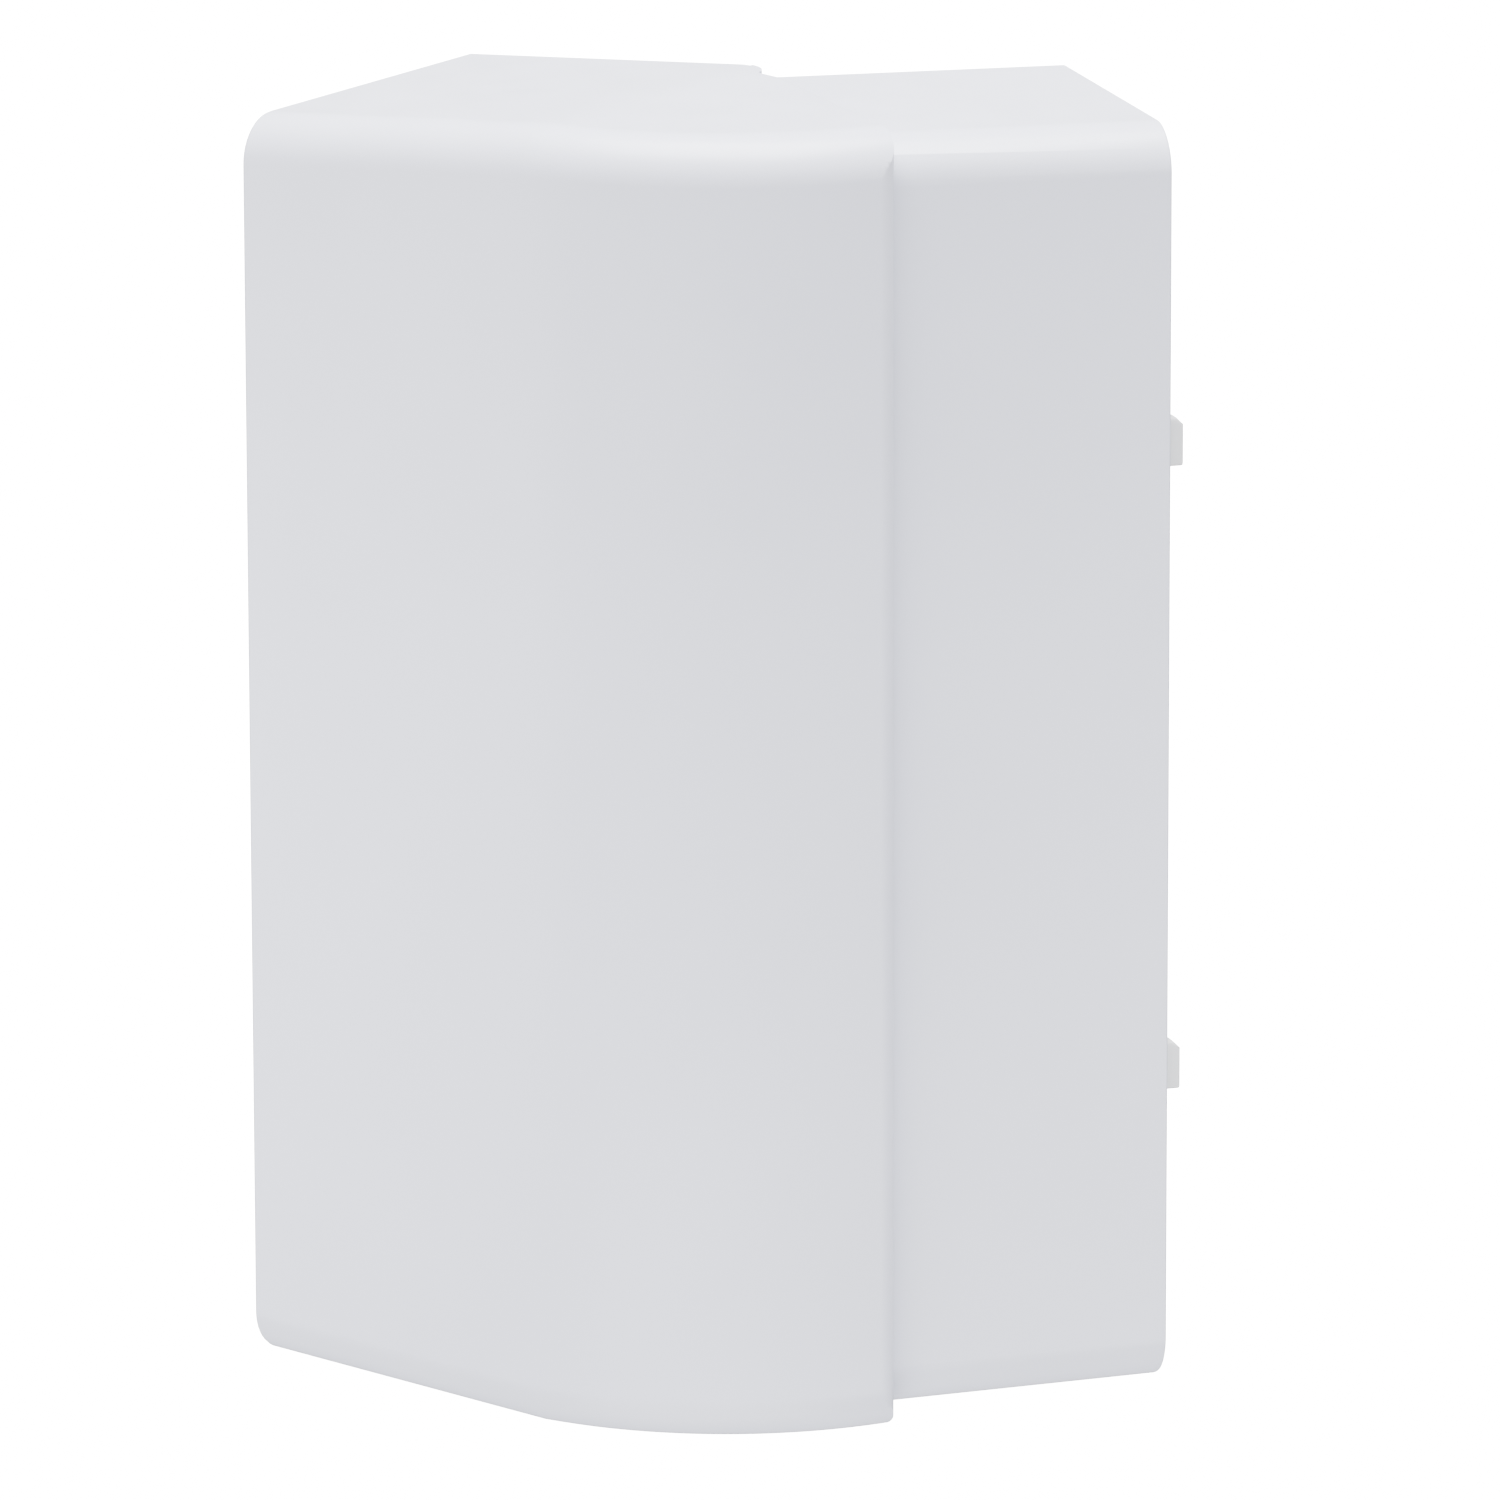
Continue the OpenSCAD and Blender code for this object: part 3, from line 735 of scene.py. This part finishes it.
def quarter_disc(place, radius, bottom, top, score=0.08 * MM, steps=6):
    """Points and faces of a quarter of a scored disc. Score is half the gap to its neighbours."""
    outline = [Vector((score, score, 0))]
    start = math.asin(score / radius)
    for step in range(steps + 1):
        angle = start + (math.pi / 2 - 2 * start) * step / steps
        outline.append(Vector((radius * math.cos(angle), radius * math.sin(angle), 0)))
    points = [place @ (spot + Vector((0, 0, height))) for height in (bottom, top) for spot in outline]
    return points, ring_faces(2, len(outline), closed=False)


def capacitors():
    """Two cans with a crimp near the foot, a sleeve that folds over and a scored top."""
    low, high = box_in("capacitors", HEAD)
    radius = (high.x - low.x) / 2
    tall = high.y - low.y
    sleeves, tops = [], []
    for z in (low.z + radius, high.z - radius):
        place = facing_front(low.x + radius, high.y, z)
        sleeves.append(lathe([
            (radius, 0), (radius, 0.8 * MM), (radius - 0.25 * MM, 1.1 * MM), (radius - 0.25 * MM, 1.3 * MM),
            (radius, 1.6 * MM), (radius, tall - 0.3 * MM), (radius - 0.3 * MM, tall),
            (radius - 0.6 * MM, tall), (radius - 0.6 * MM, tall - 0.2 * MM)], place))
        for turn in range(4):
            quarter = place @ Matrix.Rotation(turn * math.pi / 2, 4, "Z")
            tops.append(quarter_disc(quarter, radius - 0.68 * MM, tall - 0.3 * MM, tall - 0.1 * MM))
    sleeve = joined("capacitor_sleeves", *sleeves)
    soften(sleeve, 0)
    stand_for(sleeve, "capacitors", "capacitor")
    top = joined("capacitor_tops", *tops)
    soften(top, 0.04 * MM)
    stand_for(top, "capacitors", "contact")


def pyro_sensor():
    """Metal can on a flange, with a rolled shoulder and three leads."""
    low, high = box_in("pyro_sensor", HEAD)
    window_low, window_high = box_in("pyro_window", HEAD)
    board_low, board_high = box_in("main_board", HEAD)
    middle = (window_low + window_high) / 2
    flange_r, can_r = 4.6 * MM, 4.1 * MM
    tall = board_low.y - window_high.y
    place = facing_front(middle.x, board_low.y, middle.z)
    can = lathe([
        (flange_r, 0), (flange_r, 0.35 * MM), (flange_r - 0.15 * MM, 0.5 * MM), (can_r + 0.1 * MM, 0.6 * MM),
        (can_r, 0.8 * MM), (can_r, tall - 0.5 * MM), (can_r - 0.15 * MM, tall - 0.15 * MM),
        (can_r - 0.5 * MM, tall)], place, 64)
    leads = []
    for turn in range(3):
        side = Matrix.Rotation(turn * math.pi / 2, 4, "Z") @ Vector((1.8 * MM, 0, 0))
        foot = place @ Matrix.Translation(side + Vector((0, 0, board_low.y - board_high.y - 1 * MM)))
        leads.append(lathe([(0.12 * MM, 0), (0.25 * MM, 0.12 * MM), (0.25 * MM, 1 * MM)], foot, 16))
    piece = joined("pyro_sensor_skin", can, *leads)
    soften(piece, 0)
    stand_for(piece, "pyro_sensor")


def processor_chip():
    """Moulded body with a corner mark, and bent tin legs on four sides."""
    low, high = box_in("processor_chip", HEAD)
    leg_out, leg_w, leg_t, count = 0.8 * MM, 0.28 * MM, 0.14 * MM, 8
    board_y = high.y
    body = block((low.x + leg_out, low.y, low.z + leg_out),
                 (high.x - leg_out, board_y - 0.12 * MM, high.z - leg_out))
    dot = lathe([(0.3 * MM, -0.05 * MM), (0.3 * MM, 0.02 * MM)],
                Matrix.Translation((low.x + leg_out + 0.8 * MM, low.y, high.z - leg_out - 0.8 * MM))
                @ Matrix.Rotation(math.pi / 2, 4, "X"), 24)
    piece = placed(joined("processor_chip_body", body, dot), HEAD)
    soften(piece, 0.08 * MM)
    stand_for(piece, "processor_chip")
    legs = []
    middle = (low + high) / 2
    half = (high.x - low.x) / 2
    pitch, foot, shoulder_y = 0.62, 0.45 * MM, board_y - 0.6 * MM
    for side in range(4):
        turn = Matrix.Translation((middle.x, 0, middle.z)) @ Matrix.Rotation(side * math.pi / 2, 4, "Y")
        for step in range(count):
            across = (step - (count - 1) / 2) * pitch * MM
            for near, far, low_y, high_y in (
                    (half - leg_out - 0.05 * MM, half - foot, shoulder_y, shoulder_y + leg_t),
                    (half - foot - leg_t, half - foot, shoulder_y, board_y),
                    (half - foot, half, board_y - leg_t, board_y)):
                points, faces = block((near, low_y, across - leg_w / 2), (far, high_y, across + leg_w / 2))
                legs.append(([turn @ spot for spot in points], faces))
    piece = placed(joined("processor_chip_legs", *legs), HEAD)
    soften(piece, 0.03 * MM)
    stand_for(piece, "processor_chip", "contact")


def status_led():
    """Moulded lamp on a thin collar, with a domed end."""
    low, high = box_in("status_led", HEAD)
    radius = (high.x - low.x) / 2
    tall = high.y - low.y
    profile = [(radius, 0), (radius, 0.35 * MM), (radius - 0.08 * MM, 0.4 * MM)]
    dome, steps, share = radius - 0.08 * MM, 8, 0.96   # the dome stops short of its pole
    for step in range(steps + 1):
        turn = math.pi / 2 * step / steps * share
        profile.append((dome * math.cos(turn), tall - dome + dome * math.sin(turn)))
    piece = joined("status_led_skin", lathe(profile, facing_front(low.x + radius, high.y, low.z + radius)))
    soften(piece, 0)
    stand_for(piece, "status_led")


def light_pipe():
    """Clear rod with a bevelled front that ends in a shallow dimple."""
    low, high = box_in("light_pipe", HEAD)
    radius = (high.x - low.x) / 2
    length = high.y - low.y
    place = facing_front(low.x + radius, high.y, low.z + radius)
    piece = joined("light_pipe_skin", lathe([
        (radius - 0.2 * MM, 0), (radius, 0.2 * MM), (radius, length - 0.25 * MM),
        (radius - 0.25 * MM, length), (0.8 * MM, length), (0.6 * MM, length - 0.1 * MM),
        (0.2 * MM, length - 0.16 * MM)], place))
    soften(piece, 0)
    stand_for(piece, "light_pipe")


def board_parts():
    """Small resistors and capacitors on the main board, each with two tinned ends."""
    front_y = box_in("main_board", HEAD)[0].y
    # across and up in mm, and 1 for a part that stands upright
    spots = [(7, 16, 0), (7, 19, 0), (10, 12.5, 1), (14, 9.5, 0), (17, 10.5, 0), (20, 10.5, 0), (24, 10.5, 1),
             (22, 19, 1), (22, 22, 1), (22, 25, 0), (6, 27, 1), (10.5, 33.9, 1), (22, 34, 0), (22, 38, 0),
             (22, 42, 1), (16.5, 3, 1), (16.5, 6, 1), (20, -4, 0), (17.5, -5, 1), (6.2, 30, 0)]
    random.seed(4)
    bodies, ends = [], []
    for x, z, upright in spots:
        half_l, half_w, tall = 0.8 * MM, 0.4 * MM, random.choice((0.35, 0.45, 0.6)) * MM
        cap = 0.3 * MM
        place = Matrix.Translation((x * MM, 0, z * MM)) @ Matrix.Rotation(upright * math.pi / 2, 4, "Y")
        for near, far, side, top, parts in (
                (-half_l + cap, half_l - cap, half_w * 0.95, tall * 0.95, bodies),
                (-half_l, -half_l + cap, half_w, tall, ends),
                (half_l - cap, half_l, half_w, tall, ends)):
            points, faces = block((near, front_y - top, -side), (far, front_y, side))
            parts.append(([place @ spot for spot in points], faces))
    for name, parts, slot in (("board_part_bodies", bodies, "chip"), ("board_part_ends", ends, "contact")):
        piece = placed(joined(name, *parts), HEAD)
        soften(piece, 0.05 * MM)
        go_with(piece, "main_board", slot)


fresnel_lens()
battery()
negative_contact()
antenna()
capacitors()
pyro_sensor()
processor_chip()
status_led()
light_pipe()
board_parts()

# ---------- floor, light and camera ----------


def floor():
    """A large pale sheet under the object that glows, as a light table does."""
    half, glow = 4.0, 18.0
    low = CAD_BOX[0].z
    corners = [(x * half, y * half, low) for x, y in ((-1, -1), (1, -1), (1, 1), (-1, 1))]
    sheet = mesh_object("floor", corners, [(0, 1, 2, 3)])
    sheet.data.materials.append(new_material("floor", (0.9, 0.9, 0.9), 0.9,
                                             Emission_Strength=glow, Emission_Color=(1, 1, 1, 1)))
    sheet.visible_diffuse = False
    sheet.visible_glossy = False
    sheet.visible_transmission = False
    sheet.visible_shadow = False


def area_light(name, azimuth, height, distance, size, power, aim):
    """A soft square light. Azimuth 0 stands on the -Y side, and 90 on the +X side."""
    turn = math.radians(azimuth)
    aim = Vector(aim)
    place = aim + Vector((math.sin(turn) * distance, -math.cos(turn) * distance, height))
    data = bpy.data.lights.new(name, "AREA")
    data.shape = "SQUARE"
    data.size = size
    data.energy = power
    light = bpy.data.objects.new(name, data)
    light.location = place
    light.rotation_euler = (aim - place).to_track_quat("-Z", "Y").to_euler()
    light.visible_camera = False
    bpy.context.scene.collection.objects.link(light)


def world(strength):
    scene_world = bpy.data.worlds.new("studio")
    scene_world.use_nodes = True
    background = scene_world.node_tree.nodes["Background"]
    background.inputs["Color"].default_value = (0.985, 0.99, 1.0, 1)
    background.inputs["Strength"].default_value = strength
    bpy.context.scene.world = scene_world


def camera():
    """A long lens that looks down a little on the broad side of the bend."""
    azimuth, elevation, roll = math.radians(73.224), math.radians(13.864), math.radians(0.128)
    distance = 1.16273
    target = Vector((-0.00053, -0.03183, -0.00007))
    forward = Vector((-math.sin(azimuth) * math.cos(elevation), math.cos(azimuth) * math.cos(elevation),
                      -math.sin(elevation)))
    level_up = Vector((-math.sin(azimuth) * math.sin(elevation), math.cos(azimuth) * math.sin(elevation),
                       math.cos(elevation)))
    level_right = Vector((math.cos(azimuth), math.sin(azimuth), 0))
    up = math.cos(roll) * level_up + math.sin(roll) * level_right
    right = forward.cross(up)
    data = bpy.data.cameras.new("camera")
    data.lens = 336
    data.sensor_width = 36
    data.clip_start = 0.01
    data.clip_end = 20
    seat = bpy.data.objects.new("camera", data)
    turn = Matrix((right, up, -forward)).transposed().to_4x4()
    seat.matrix_world = Matrix.Translation(target - distance * forward) @ turn
    bpy.context.scene.collection.objects.link(seat)
    bpy.context.scene.camera = seat


# name, azimuth, height, distance, size, power, point that it shines at
LIGHTS = [
    ("right_near", 108, -0.02, 0.12, 0.12, 0.108, (0.0142, 0, -0.02)),
    ("left_near", 0, 0.0, 0.12, 0.12, 0.219, (-0.01, -0.07, -0.01)),
    ("bounce", 60, -0.25, 0.25, 0.4, 2.82, (0, -0.03, -0.04)),
    ("top", 60, 1.1, 0.1, 0.9, 74.3, (0, 0, 0)),
]

floor()
world(strength=0.5)
for light in LIGHTS:
    area_light(*light)
camera()
